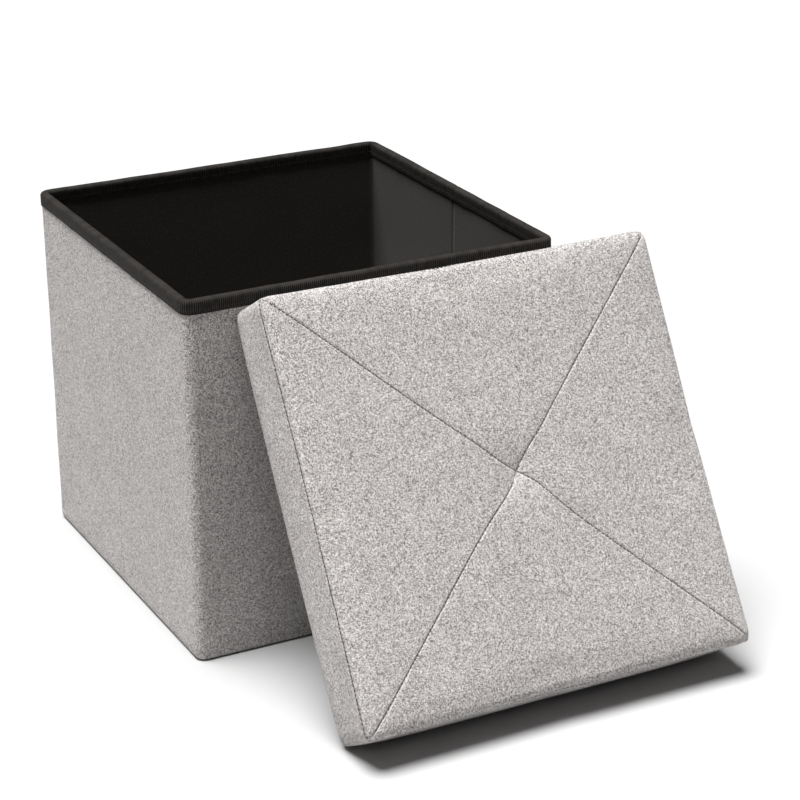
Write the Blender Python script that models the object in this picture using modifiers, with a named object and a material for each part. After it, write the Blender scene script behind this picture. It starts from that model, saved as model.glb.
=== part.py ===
"""Folding storage ottoman: a fabric-covered box of hinged boards with a loose padded lid.

Metres, +Z up. The origin is on the floor under the middle of the box. The front wall
faces -Y, and the lid stands on the floor and leans against it, cushion side out.
"""
import bpy
import bmesh
from math import cos, pi, radians, sin
from mathutils import Vector

# Box: overall sizes are over the cover cloth, the rim's binding stands proud of them.
BOX_WIDTH = 0.380
BOX_DEPTH = 0.380
BOX_HEIGHT = 0.360
CORNER_RADIUS = 0.010

# Wall layers, from the outside in.
COVER_THICKNESS = 0.0010
BOARD_THICKNESS = 0.0040
LINING_THICKNESS = 0.0008
LAYER_GAP = 0.0003

# Binding folded over the top edge of every wall panel.
BINDING_THICKNESS = 0.0010
BINDING_HEIGHT = 0.0120

# Cloth hinges at the corners and at the creases of the two folding side walls.
PIVOT_INSET = 0.0040
CORNER_END_GAP = 0.0023
CREASE_END_GAP = 0.0005
CREASE_CLEARANCE = 0.0006
HINGE_LAP = 0.0080

# Bottom cloth and the loose board that lies on it.
BOTTOM_THICKNESS = 0.0010
BASE_BOARD_THICKNESS = 0.0040
BASE_CLOTH_THICKNESS = 0.0008
BASE_SIDE_CLEARANCE = 0.0015
BASE_TOP_CLEARANCE = 0.0011

# Lid: it covers the box with an overhang all round, and leans shifted to the right.
LID_OVERHANG = 0.008
LID_THICKNESS = 0.070
LID_BOARD_THICKNESS = 0.0040
LID_CORNER_RADIUS = 0.012
LID_LEAN = radians(31.0)
LID_SHIFT = 0.056
LID_WALL_GAP = 0.0010
BATTEN_WIDTH = 0.018
BATTEN_THICKNESS = 0.009
BATTEN_FIT = 0.0020
TUFT_CORD_RADIUS = 0.0012
TUFT_HOLE_CLEARANCE = 0.0008
TUFT_WASHER_RADIUS = 0.010
TUFT_WASHER_THICKNESS = 0.0012

# Values that follow from the ones above.
WALL_THICKNESS = COVER_THICKNESS + BOARD_THICKNESS + LINING_THICKNESS + 2 * LAYER_GAP
BINDING_PROUD = BINDING_THICKNESS + LAYER_GAP
HALF_W = BOX_WIDTH / 2
HALF_D = BOX_DEPTH / 2
BASE_BOTTOM = BOTTOM_THICKNESS + LAYER_GAP
BASE_TOP = BASE_BOTTOM + BASE_BOARD_THICKNESS + LAYER_GAP + BASE_CLOTH_THICKNESS
WALL_BOTTOM = BASE_TOP + BASE_TOP_CLEARANCE
HEM_TOP = WALL_BOTTOM - LAYER_GAP
WALL_TOP = BOX_HEIGHT - BINDING_PROUD
BOARD_SETBACK = max(WALL_THICKNESS + CORNER_END_GAP, CORNER_RADIUS)
CORNER_LEG = BOARD_SETBACK + HINGE_LAP
PIVOT_X = HALF_W - WALL_THICKNESS
PIVOT_Y = HALF_D - WALL_THICKNESS - PIVOT_INSET
CREASE_X = HALF_W + BINDING_PROUD + CREASE_CLEARANCE / 2
LID_WIDTH = BOX_WIDTH + 2 * LID_OVERHANG
LID_LENGTH = BOX_DEPTH + 2 * LID_OVERHANG

COLORS = {
    "linen": (0.62, 0.60, 0.58),
    "lining": (0.030, 0.028, 0.026),
    "ribbon": (0.022, 0.021, 0.020),
    "board": (0.42, 0.31, 0.20),
    "foam": (0.80, 0.77, 0.66),
    "thread": (0.16, 0.15, 0.15),
    "washer": (0.55, 0.55, 0.56),
}
FINISHES = {
    "linen": (0.92, 0.0),
    "lining": (0.90, 0.0),
    "ribbon": (0.75, 0.0),
    "board": (0.80, 0.0),
    "foam": (0.95, 0.0),
    "thread": (0.80, 0.0),
    "washer": (0.35, 1.0),
}


def clear_scene():
    """Empty the scene and make the collections for the parts and the cutters."""
    for obj in list(bpy.data.objects):
        bpy.data.objects.remove(obj, do_unlink=True)
    found = {}
    for name in ("storage_ottoman", "cutters"):
        found[name] = bpy.data.collections.new(name)
        bpy.context.scene.collection.children.link(found[name])
    return found["storage_ottoman"], found["cutters"]


def finish_material(name, finish):
    """A Principled BSDF of one finish, named for its part."""
    material = bpy.data.materials.new(name)
    material.use_nodes = True
    shader = material.node_tree.nodes["Principled BSDF"]
    roughness, metallic = FINISHES[finish]
    shader.inputs["Base Color"].default_value = (*COLORS[finish], 1.0)
    shader.inputs["Roughness"].default_value = roughness
    shader.inputs["Metallic"].default_value = metallic
    return material


def link_only(obj, collection):
    for owner in list(obj.users_collection):
        owner.objects.unlink(obj)
    collection.objects.link(obj)


def make_part(obj, name, finish, parent=None):
    """Name a finished piece, give it its material and hang it on its pivot."""
    obj.name = name
    obj.data.name = name
    obj.data.materials.append(finish_material(name, finish))
    link_only(obj, PARTS)
    obj.parent = parent
    return obj


def make_pivot(name, location, rotation=(0.0, 0.0, 0.0)):
    empty = bpy.data.objects.new(name, None)
    empty.location = location
    empty.rotation_euler = rotation
    empty.empty_display_size = 0.03
    PARTS.objects.link(empty)
    return empty


def make_block(low, high, origin=(0.0, 0.0, 0.0)):
    """A box between two corners, placed relative to an origin."""
    centre = (Vector(low) + Vector(high)) / 2 - Vector(origin)
    bpy.ops.mesh.primitive_cube_add(size=1.0, location=centre)
    block = bpy.context.object
    block.scale = Vector(high) - Vector(low)
    bpy.ops.object.transform_apply(location=False, rotation=False, scale=True)
    return block


def remove_faces(obj, normals):
    """Open a box at the sides that face along the given directions."""
    mesh = bmesh.new()
    mesh.from_mesh(obj.data)
    wanted = [Vector(n) for n in normals]
    gone = [f for f in mesh.faces if any(f.normal.dot(w) > 0.9 for w in wanted)]
    bmesh.ops.delete(mesh, geom=gone, context="FACES")
    mesh.to_mesh(obj.data)
    mesh.free()


def round_uprights(obj, radius):
    """Round the edges of a shape that stand along its own Z."""
    mesh = bmesh.new()
    mesh.from_mesh(obj.data)
    uprights = []
    for edge in mesh.edges:
        rise = edge.verts[1].co - edge.verts[0].co
        if len(edge.link_faces) == 2 and abs(rise.normalized().z) > 0.99:
            uprights.append(edge)
    bmesh.ops.bevel(mesh, geom=uprights, offset=radius, offset_type="OFFSET", segments=4,
                    profile=0.5, affect="EDGES", material=-1, clamp_overlap=False)
    mesh.to_mesh(obj.data)
    mesh.free()
    obj.data.shade_smooth()
    obj.data.set_sharp_from_angle(angle=radians(40))


def add_shell(obj, thickness):
    """Turn an open surface into a wall that lies inside it."""
    shell = obj.modifiers.new("wall", "SOLIDIFY")
    shell.thickness = thickness
    shell.offset = -1.0
    shell.use_even_offset = True


def cut_with(obj, cutter):
    """Cut one closed shape out of another, the cutter staying hidden beside it."""
    cutter.parent = obj.parent
    cutter.display_type = "WIRE"
    cutter.hide_render = True
    cutter.hide_set(True)
    link_only(cutter, CUTTERS)
    cut = obj.modifiers.new("cut", "BOOLEAN")
    cut.operation = "DIFFERENCE"
    cut.solver = "EXACT"
    cut.object = cutter


def make_rod(radius, low, high, x=0.0, y=0.0, sides=24):
    bpy.ops.mesh.primitive_cylinder_add(
        vertices=sides, radius=radius, depth=high - low, location=(x, y, (low + high) / 2))
    rod = bpy.context.object
    rod.data.shade_smooth()
    rod.data.set_sharp_from_angle(angle=radians(40))
    return rod


def wall_layers():
    """Depth of each wall layer below the outer face, as (near, far) pairs."""
    cover = (0.0, COVER_THICKNESS)
    board_start = COVER_THICKNESS + LAYER_GAP
    board = (board_start, board_start + BOARD_THICKNESS)
    lining_start = board[1] + LAYER_GAP
    return cover, board, (lining_start, lining_start + LINING_THICKNESS)


def layer_box(face, inward, start, end, depth, bottom, top):
    """Corners of one layer. The wall's outer face is at `face` on the axis that
    `inward` points along, and it runs from start to end on the other one."""
    near = face + inward[1] * depth[0]
    far = face + inward[1] * depth[1]
    low = [0.0, 0.0, bottom]
    high = [0.0, 0.0, top]
    low[inward[0]] = min(near, far)
    high[inward[0]] = max(near, far)
    low[1 - inward[0]] = start
    high[1 - inward[0]] = end
    return low, high


def make_wall_panel(name, face, inward, board_span, cover_span, pivot=None):
    """One stiff panel: board, outer cloth, lining cloth and the binding on top.

    inward is (axis index, direction) of the way into the box.
    """
    origin = pivot.location if pivot else (0.0, 0.0, 0.0)
    cover, board, lining = wall_layers()
    for layer, depth, span, finish in (
            ("board", board, board_span, "board"),
            ("cover", cover, cover_span, "linen"),
            ("lining", lining, board_span, "lining")):
        corners = layer_box(face, inward, *span, depth, WALL_BOTTOM, WALL_TOP)
        make_part(make_block(*corners, origin), f"{name}_{layer}", finish, pivot)

    depth = (-BINDING_PROUD, WALL_THICKNESS + BINDING_PROUD)
    bottom = BOX_HEIGHT - BINDING_HEIGHT
    corners = layer_box(face, inward, *board_span, depth, bottom, BOX_HEIGHT)
    binding = make_block(*corners, origin)
    along = [0.0, 0.0, 0.0]
    along[1 - inward[0]] = 1.0
    remove_faces(binding, [(0, 0, -1), along, [-a for a in along]])
    add_shell(binding, BINDING_THICKNESS)
    make_part(binding, f"{name}_binding", "ribbon", pivot)


def make_corner_hinge(name, x_side, y_side, pivot=None):
    """Cover cloth that turns a vertical corner: a rounded angle with two equal legs."""
    origin = pivot.location if pivot else (0.0, 0.0, 0.0)
    x_edge = x_side * HALF_W
    y_edge = y_side * HALF_D
    x_end = x_edge - x_side * CORNER_LEG
    y_end = y_edge - y_side * CORNER_LEG
    low = (min(x_edge, x_end), min(y_edge, y_end), WALL_BOTTOM)
    high = (max(x_edge, x_end), max(y_edge, y_end), BOX_HEIGHT - BINDING_HEIGHT - LAYER_GAP)
    angle = make_block(low, high, origin)
    remove_faces(angle, [(0, 0, 1), (0, 0, -1), (-x_side, 0, 0), (0, -y_side, 0)])
    round_uprights(angle, CORNER_RADIUS)
    add_shell(angle, COVER_THICKNESS)
    make_part(angle, name, "linen", pivot)


def make_crease_hinge(name, x_side, pivot):
    """Cover cloth that bends at the fold line in the middle of a side wall."""
    outer = x_side * HALF_W
    inner = outer - x_side * COVER_THICKNESS
    low = (min(outer, inner), -HINGE_LAP, WALL_BOTTOM)
    high = (max(outer, inner), HINGE_LAP, WALL_TOP)
    make_part(make_block(low, high, pivot.location), name, "linen", pivot)


def make_front_and_back(pivot):
    """The two walls that stay stiff. The back wall hangs on the right rear panel."""
    board_edge = HALF_W - BOARD_SETBACK
    board_span = (-board_edge, board_edge)
    cover_edge = HALF_W - CORNER_LEG - LAYER_GAP
    cover_span = (-cover_edge, cover_edge)
    make_wall_panel("front", -HALF_D, (1, 1), board_span, cover_span)
    make_wall_panel("back", HALF_D, (1, -1), board_span, cover_span, pivot)


def make_side_wall(side, x_side, front_pivot, rear_pivot):
    """A side wall of two panels that fold inwards at a crease."""
    wall_end = HALF_D - BOARD_SETBACK
    cover_end = HALF_D - CORNER_LEG - LAYER_GAP
    middle = CREASE_END_GAP / 2
    lap = HINGE_LAP + LAYER_GAP
    face = x_side * HALF_W
    inward = (0, -x_side)
    make_wall_panel(f"{side}_front", face, inward, (-wall_end, -middle), (-cover_end, -lap), front_pivot)
    make_wall_panel(f"{side}_rear", face, inward, (middle, wall_end), (lap, cover_end), rear_pivot)
    make_crease_hinge(f"{side}_crease_hinge", x_side, front_pivot)


def make_bottom_cloth():
    """The bottom of the cloth box, with its edge turned up as a hem."""
    tray = make_block((-HALF_W, -HALF_D, 0.0), (HALF_W, HALF_D, HEM_TOP))
    remove_faces(tray, [(0, 0, 1)])
    round_uprights(tray, CORNER_RADIUS)
    add_shell(tray, BOTTOM_THICKNESS)
    make_part(tray, "bottom_cloth", "linen")


def make_base_board():
    """The loose board that keeps the box open, under its own lining cloth."""
    pivot = make_pivot("base_lift", (0.0, 0.0, 0.0))
    x = HALF_W - WALL_THICKNESS - BINDING_PROUD - BASE_SIDE_CLEARANCE
    y = HALF_D - WALL_THICKNESS - BINDING_PROUD - BASE_SIDE_CLEARANCE
    board_top = BASE_BOTTOM + BASE_BOARD_THICKNESS
    board = make_block((-x, -y, BASE_BOTTOM), (x, y, board_top))
    make_part(board, "base_board", "board", pivot)
    cloth = make_block((-x, -y, board_top + LAYER_GAP), (x, y, BASE_TOP))
    make_part(cloth, "base_lining", "lining", pivot)


def lid_pivot():
    """The lid's own frame: X along its lower edge, Y up its slope, Z out of the cushion."""
    batten_edge = LID_OVERHANG + WALL_THICKNESS + BINDING_PROUD + BATTEN_FIT
    edge_reach = LID_LENGTH * sin(LID_LEAN)
    batten_reach = (LID_LENGTH - batten_edge) * sin(LID_LEAN)
    batten_reach += (BATTEN_THICKNESS + LAYER_GAP) * cos(LID_LEAN)
    foot = max(edge_reach, batten_reach) + BINDING_PROUD + LID_WALL_GAP
    return make_pivot("lid_lean", (LID_SHIFT, -HALF_D - foot, LAYER_GAP), (pi / 2 - LID_LEAN, 0.0, 0.0))


def make_triangle(outline, low, high):
    """A flat three-sided sheet, as a filled outline with a thickness."""
    curve = bpy.data.curves.new("sheet", "CURVE")
    curve.dimensions = "2D"
    curve.fill_mode = "BOTH"
    curve.extrude = (high - low) / 2
    spline = curve.splines.new("POLY")
    spline.points.add(len(outline) - 1)
    for point, (x, y) in zip(spline.points, outline):
        point.co = (x, y, 0.0, 1.0)
    spline.use_cyclic_u = True
    sheet = bpy.data.objects.new("sheet", curve)
    sheet.location = (0.0, 0.0, (low + high) / 2)
    bpy.context.scene.collection.objects.link(sheet)
    return sheet


def make_lid_top(pivot):
    """Four triangles that meet at the tuft, a seam's gap apart."""
    x = LID_WIDTH / 2
    y = LID_LENGTH / 2
    low = LID_THICKNESS - COVER_THICKNESS
    sides = {
        "bottom": ((-x, -y), (x, -y)),
        "right": ((x, -y), (x, y)),
        "top": ((x, y), (-x, y)),
        "left": ((-x, y), (-x, -y)),
    }
    for name, (start, end) in sides.items():
        corners = [Vector(start), Vector(end), Vector((0.0, 0.0))]
        middle = sum(corners, Vector((0.0, 0.0))) / 3
        rim = (corners[0] - corners[1]).length
        slant = corners[0].length + corners[1].length
        height = (corners[0] + corners[1]).length / 2
        inradius = rim * height / (rim + slant)
        shrink = 1 - LAYER_GAP / 2 / inradius
        outline = [middle + (corner - middle) * shrink + Vector((0.0, y)) for corner in corners]
        make_part(make_triangle(outline, low, LID_THICKNESS), f"lid_top_{name}", "linen", pivot)


def make_lid_sides(pivot):
    """The gusset: four strips round the edge, from the lining to the top seam."""
    x = LID_WIDTH / 2
    low = 0.0
    high = LID_THICKNESS - COVER_THICKNESS - LAYER_GAP
    cloth = COVER_THICKNESS
    inner = x - cloth - LAYER_GAP
    strips = {
        "left": ((-x, 0.0, low), (-x + cloth, LID_LENGTH, high)),
        "right": ((x - cloth, 0.0, low), (x, LID_LENGTH, high)),
        "bottom": ((-inner, 0.0, low), (inner, cloth, high)),
        "top": ((-inner, LID_LENGTH - cloth, low), (inner, LID_LENGTH, high)),
    }
    for name, corners in strips.items():
        make_part(make_block(*corners), f"lid_gusset_{name}", "linen", pivot)


def make_lid_core(pivot):
    """Lining, board and foam, with the tuft's cord and washer through them."""
    edge = COVER_THICKNESS + LAYER_GAP
    x = LID_WIDTH / 2 - edge
    near = edge
    far = LID_LENGTH - edge
    middle = LID_LENGTH / 2
    board_low = LINING_THICKNESS + LAYER_GAP
    board_high = board_low + LID_BOARD_THICKNESS
    foam_low = board_high + LAYER_GAP
    foam_high = LID_THICKNESS - COVER_THICKNESS - LAYER_GAP
    hole = TUFT_CORD_RADIUS + TUFT_HOLE_CLEARANCE
    past = 0.001

    lining = make_part(make_block((-x, near, 0.0), (x, far, LINING_THICKNESS)), "lid_lining", "lining", pivot)
    round_uprights(lining, LID_CORNER_RADIUS)

    board = make_part(make_block((-x, near, board_low), (x, far, board_high)), "lid_board", "board", pivot)
    round_uprights(board, LID_CORNER_RADIUS)
    washer_room = board_low + LAYER_GAP + TUFT_WASHER_THICKNESS + LAYER_GAP
    pocket = make_rod(TUFT_WASHER_RADIUS + LAYER_GAP, board_low - past, washer_room, y=middle)
    pocket.name = "washer_pocket"
    cut_with(board, pocket)
    board_hole = make_rod(hole, board_low - 2 * past, board_high + past, y=middle, sides=16)
    board_hole.name = "board_hole"
    cut_with(board, board_hole)

    foam = make_part(make_block((-x, near, foam_low), (x, far, foam_high)), "lid_foam", "foam", pivot)
    round_uprights(foam, LID_CORNER_RADIUS)
    foam_hole = make_rod(hole, foam_low - past, foam_high + past, y=middle, sides=16)
    foam_hole.name = "foam_hole"
    cut_with(foam, foam_hole)

    washer_low = board_low + LAYER_GAP
    washer_high = washer_low + TUFT_WASHER_THICKNESS
    washer = make_rod(TUFT_WASHER_RADIUS, washer_low, washer_high, y=middle)
    make_part(washer, "tuft_washer", "washer", pivot)
    cord = make_rod(TUFT_CORD_RADIUS, washer_high + LAYER_GAP, foam_high, y=middle, sides=12)
    make_part(cord, "tuft_cord", "thread", pivot)


def make_lid_battens(pivot):
    """Four strips under the lid that drop inside the rim and keep it from sliding."""
    margin = LID_OVERHANG + WALL_THICKNESS + BINDING_PROUD + BATTEN_FIT
    x = LID_WIDTH / 2 - margin
    near = margin
    far = LID_LENGTH - margin
    high = -LAYER_GAP
    low = high - BATTEN_THICKNESS
    width = BATTEN_WIDTH
    ends = width + LAYER_GAP
    battens = {
        "left": ((-x, near, low), (-x + width, far, high)),
        "right": ((x - width, near, low), (x, far, high)),
        "bottom": ((-x + ends, near, low), (x - ends, near + width, high)),
        "top": ((-x + ends, far - width, low), (x - ends, far, high)),
    }
    for name, corners in battens.items():
        make_part(make_block(*corners), f"lid_batten_{name}", "lining", pivot)


def make_box():
    pivots = {
        "right_front": make_pivot("right_front_pivot", (PIVOT_X, -PIVOT_Y, 0.0)),
        "right_rear": make_pivot("right_crease_pivot", (CREASE_X, 0.0, 0.0)),
        "back": make_pivot("back_pivot", (PIVOT_X, PIVOT_Y, 0.0)),
        "left_front": make_pivot("left_front_pivot", (-PIVOT_X, -PIVOT_Y, 0.0)),
        "left_rear": make_pivot("left_crease_pivot", (-CREASE_X, 0.0, 0.0)),
    }
    make_front_and_back(pivots["back"])
    make_side_wall("right", 1, pivots["right_front"], pivots["right_rear"])
    make_side_wall("left", -1, pivots["left_front"], pivots["left_rear"])
    make_corner_hinge("front_right_hinge", 1, -1)
    make_corner_hinge("front_left_hinge", -1, -1)
    make_corner_hinge("back_right_hinge", 1, 1, pivots["back"])
    make_corner_hinge("back_left_hinge", -1, 1, pivots["back"])
    make_bottom_cloth()
    make_base_board()


def make_lid():
    pivot = lid_pivot()
    make_lid_core(pivot)
    make_lid_top(pivot)
    make_lid_sides(pivot)
    make_lid_battens(pivot)


PARTS, CUTTERS = clear_scene()
make_box()
make_lid()
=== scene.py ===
import math
import bmesh
import bpy
from mathutils import Matrix, Vector, noise
from mathutils.bvhtree import BVHTree


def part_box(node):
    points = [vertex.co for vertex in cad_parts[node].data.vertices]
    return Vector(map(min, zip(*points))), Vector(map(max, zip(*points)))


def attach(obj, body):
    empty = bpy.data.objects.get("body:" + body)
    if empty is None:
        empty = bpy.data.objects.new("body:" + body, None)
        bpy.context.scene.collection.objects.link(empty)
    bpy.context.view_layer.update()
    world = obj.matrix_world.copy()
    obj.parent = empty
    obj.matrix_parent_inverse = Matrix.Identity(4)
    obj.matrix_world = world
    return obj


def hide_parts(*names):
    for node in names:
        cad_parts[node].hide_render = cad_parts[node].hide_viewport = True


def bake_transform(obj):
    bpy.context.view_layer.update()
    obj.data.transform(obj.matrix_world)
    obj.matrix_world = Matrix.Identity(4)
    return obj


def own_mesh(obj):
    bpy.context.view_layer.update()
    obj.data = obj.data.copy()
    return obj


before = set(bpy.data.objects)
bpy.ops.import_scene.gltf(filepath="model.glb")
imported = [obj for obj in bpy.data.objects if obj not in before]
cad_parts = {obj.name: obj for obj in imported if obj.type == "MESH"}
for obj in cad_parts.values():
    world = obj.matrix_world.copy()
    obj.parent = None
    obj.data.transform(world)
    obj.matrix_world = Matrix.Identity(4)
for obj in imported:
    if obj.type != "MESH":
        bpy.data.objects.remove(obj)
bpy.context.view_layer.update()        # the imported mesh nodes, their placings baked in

# Folding storage ottoman: linen-look walls and lid, ribbed binding, black lining.
# The frame gives every size. Cloth lies where its CAD solids are, with soft edges.

scene = bpy.context.scene
print("frame loaded:", len(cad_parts), "nodes")


def hexColour(text):
    # sRGB hex to the linear colour that the nodes use
    parts = [int(text[i:i + 2], 16) / 255 for i in (1, 3, 5)]
    linear = [c / 12.92 if c <= 0.04045 else ((c + 0.055) / 1.055) ** 2.4 for c in parts]
    return (*linear, 1.0)


def addNode(tree, kind, settings=None, inputs=None):
    # one node, with its settings and with its inputs set or linked
    node = tree.nodes.new(kind)
    for name, value in (settings or {}).items():
        setattr(node, name, value)
    for socket, value in (inputs or {}).items():
        if isinstance(value, bpy.types.NodeSocket):
            tree.links.new(value, node.inputs[socket])
        else:
            node.inputs[socket].default_value = value
    return node


def newMaterial(name, roughness, specular, sheen=0.0, metallic=0.0):
    material = bpy.data.materials.new(name)
    material.use_nodes = True
    tree = material.node_tree
    shader = tree.nodes["Principled BSDF"]
    shader.inputs["Roughness"].default_value = roughness
    shader.inputs["Specular IOR Level"].default_value = specular
    shader.inputs["Sheen Weight"].default_value = sheen
    shader.inputs["Sheen Roughness"].default_value = 0.5
    shader.inputs["Metallic"].default_value = metallic
    return material, tree, shader


def objectPlace(tree):
    return addNode(tree, "ShaderNodeTexCoord").outputs["Object"]


def clothPlace(tree):
    # the cloth's own map, in metres
    return addNode(tree, "ShaderNodeUVMap", {"uv_map": "cloth"}).outputs["UV"]


def addBump(tree, shader, height, strength, depth):
    bump = addNode(tree, "ShaderNodeBump", None, {"Height": height, "Strength": strength, "Distance": depth})
    tree.links.new(bump.outputs["Normal"], shader.inputs["Normal"])


def rampOf(tree, factor, stops):
    # colours at places from 0 to 1
    ramp = addNode(tree, "ShaderNodeValToRGB", None, {"Fac": factor})
    band = ramp.color_ramp
    while len(band.elements) < len(stops):
        band.elements.new(0.5)
    for element, (place, colour) in zip(band.elements, stops):
        element.position = place
        element.color = hexColour(colour)
    return ramp.outputs["Color"]


oneBand = math.pi / 10         # a wave texture's scale for one band to each unit

# Linen-look polyester, plain weave of mixed grey yarns: a dry, speckled, matt face.
# The threads are 0.7 mm apart, which shows as a fine, even grain and not as single threads.
linenLook = {
    "threadPitch": 0.0007,
    "fleckLength": 2.1,        # threads' widths that one fleck of colour runs
    "wander": 0.0010,          # how far a thread strays from its line
    "dark": "#5a5452",
    "middle": "#c6c0be",
    "pale": "#fffdfb",
    "gap": "#bdbab9",          # shade between threads
    "reliefDepth": 0.00022,
}


def wovenLinen(name):
    material, tree, shader = newMaterial(name, 0.92, 0.25, sheen=0.12)
    look = linenLook
    across = 1 / look["threadPitch"]
    along = across / look["fleckLength"]
    uv = clothPlace(tree)
    stray = addNode(tree, "ShaderNodeTexNoise", None, {"Vector": uv, "Scale": 140.0, "Detail": 1.0})
    centred = addNode(tree, "ShaderNodeVectorMath", {"operation": "SUBTRACT"},
                      {0: stray.outputs["Color"], 1: (0.5, 0.5, 0.5)})
    moved = addNode(tree, "ShaderNodeVectorMath", {"operation": "SCALE"},
                    {0: centred.outputs[0], "Scale": look["wander"]})
    strayed = addNode(tree, "ShaderNodeVectorMath", {"operation": "ADD"}, {0: uv, 1: moved.outputs[0]})
    woven = strayed.outputs[0]
    threads = addNode(tree, "ShaderNodeMapping", None, {"Vector": woven, "Scale": (across, across, 1)})
    tones = []
    ridges = []
    for scale, direction in (((along, across, 1), "Y"), ((across, along, 1), "X")):
        # a tone of its own for each stretch of thread between two crossings
        yarn = addNode(tree, "ShaderNodeMapping", None, {"Vector": woven, "Scale": scale})
        stretch = addNode(tree, "ShaderNodeVectorMath", {"operation": "FLOOR"}, {0: yarn.outputs["Vector"]})
        tone = addNode(tree, "ShaderNodeTexWhiteNoise", {"noise_dimensions": "2D"},
                       {"Vector": stretch.outputs[0]})
        tones.append(tone.outputs["Value"])
        ridge = addNode(tree, "ShaderNodeTexWave", {"wave_type": "BANDS", "bands_direction": direction},
                        {"Vector": threads.outputs["Vector"], "Scale": oneBand, "Distortion": 0.4,
                         "Detail": 1.0})
        ridges.append(ridge.outputs["Fac"])
    over = addNode(tree, "ShaderNodeTexChecker", None,
                   {"Vector": threads.outputs["Vector"], "Color1": (0, 0, 0, 1), "Color2": (1, 1, 1, 1),
                    "Scale": 1.0}).outputs["Fac"]
    tone = addNode(tree, "ShaderNodeMix", {"data_type": "FLOAT"}, {0: over, 2: tones[0], 3: tones[1]})
    relief = addNode(tree, "ShaderNodeMix", {"data_type": "FLOAT"}, {0: over, 2: ridges[0], 3: ridges[1]})
    colour = rampOf(tree, tone.outputs[0],
                    [(0.0, look["dark"]), (0.5, look["middle"]), (1.0, look["pale"])])
    gaps = rampOf(tree, relief.outputs[0], [(0.0, look["gap"]), (0.6, "#ffffff")])
    parted = addNode(tree, "ShaderNodeMix", {"data_type": "RGBA", "blend_type": "MULTIPLY"},
                     {0: 1.0, 6: colour, 7: gaps})
    # dye lots and handling: broad, faint clouds
    cloud = addNode(tree, "ShaderNodeTexNoise", None, {"Vector": uv, "Scale": 22.0, "Detail": 2.0})
    shade = rampOf(tree, cloud.outputs["Fac"], [(0.3, "#f7f7f7"), (0.7, "#ffffff")])
    dyed = addNode(tree, "ShaderNodeMix", {"data_type": "RGBA", "blend_type": "MULTIPLY"},
                   {0: 1.0, 6: parted.outputs[2], 7: shade})
    tree.links.new(dyed.outputs[2], shader.inputs["Base Color"])
    addBump(tree, shader, relief.outputs[0], 0.7, look["reliefDepth"])
    return material


# Black spunbond polypropylene, bonded at a grid of small points: dull, faintly waxy.
liningLook = {
    "bondPitch": 0.0022,       # real points are 1.2 mm apart, drawn wider so that they show
    "dark": "#262321",
    "pale": "#47423d",
    "reliefDepth": 0.00012,
}


def bondedLining(name):
    material, tree, shader = newMaterial(name, 0.62, 0.35, sheen=0.1)
    look = liningLook
    uv = clothPlace(tree)
    fibres = addNode(tree, "ShaderNodeTexNoise", None,
                     {"Vector": uv, "Scale": 420.0, "Detail": 4.0, "Roughness": 0.7})
    colour = rampOf(tree, fibres.outputs["Fac"], [(0.3, look["dark"]), (0.7, look["pale"])])
    tree.links.new(colour, shader.inputs["Base Color"])
    points = addNode(tree, "ShaderNodeTexVoronoi", {"feature": "F1"},
                     {"Vector": uv, "Scale": 1 / look["bondPitch"], "Randomness": 0.25})
    addBump(tree, shader, points.outputs["Distance"], 0.8, look["reliefDepth"])
    return material


# Grosgrain ribbon in black polyester: fine ribs across its length, each crest coloured lighter as a painted
# highlight and each groove darker as painted shade.
ribbonLook = {
    "ribPitch": 0.0020,
    # groove is painted shade between the ribs, crest is a painted highlight on each rib
    "groove": "#060505",
    "crest": "#3b3733",
    "reliefDepth": 0.0004,
}


def ribbedRibbon(name):
    material, tree, shader = newMaterial(name, 0.8, 0.2)
    look = ribbonLook
    uv = clothPlace(tree)
    counted = 1 / look["ribPitch"]
    place = addNode(tree, "ShaderNodeMapping", None, {"Vector": uv, "Scale": (counted, counted, 1)})
    ribs = addNode(tree, "ShaderNodeTexWave", {"wave_type": "BANDS", "bands_direction": "X"},
                   {"Vector": place.outputs["Vector"], "Scale": oneBand, "Distortion": 0.6,
                    "Detail": 2.0, "Detail Scale": 0.4})
    uneven = addNode(tree, "ShaderNodeTexNoise", None, {"Vector": uv, "Scale": 160.0, "Detail": 2.0})
    blend = addNode(tree, "ShaderNodeMath", {"operation": "MULTIPLY"},
                    {0: ribs.outputs["Fac"], 1: uneven.outputs["Fac"]})
    # colour follows the ribs' relief: painted shade in the grooves, painted highlight on the crests, with a
    # random unevenness
    colour = rampOf(tree, blend.outputs[0], [(0.05, look["groove"]), (0.55, look["crest"])])
    tree.links.new(colour, shader.inputs["Base Color"])
    addBump(tree, shader, ribs.outputs["Fac"], 0.9, look["reliefDepth"])
    return material


# Spun polyester thread: matt, with a ply that catches light in short bands.
def spunThread(name, dark, pale):
    material, tree, shader = newMaterial(name, 0.7, 0.3, sheen=0.1)
    place = objectPlace(tree)
    ply = addNode(tree, "ShaderNodeTexNoise", None, {"Vector": place, "Scale": 1800.0, "Detail": 2.0})
    colour = rampOf(tree, ply.outputs["Fac"], [(0.35, dark), (0.65, pale)])
    tree.links.new(colour, shader.inputs["Base Color"])
    return material


# Medium-density fibreboard, pressed and cut: brown, matt, with short pale fibres.
def pressedBoard(name):
    material, tree, shader = newMaterial(name, 0.78, 0.3)
    place = objectPlace(tree)
    fibres = addNode(tree, "ShaderNodeTexNoise", None,
                     {"Vector": place, "Scale": 900.0, "Detail": 5.0, "Roughness": 0.7})
    colour = rampOf(tree, fibres.outputs["Fac"], [(0.3, "#7a5c3c"), (0.55, "#9b7a52"), (0.75, "#b8976b")])
    tree.links.new(colour, shader.inputs["Base Color"])
    addBump(tree, shader, fibres.outputs["Fac"], 0.3, 0.0001)
    return material


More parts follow.
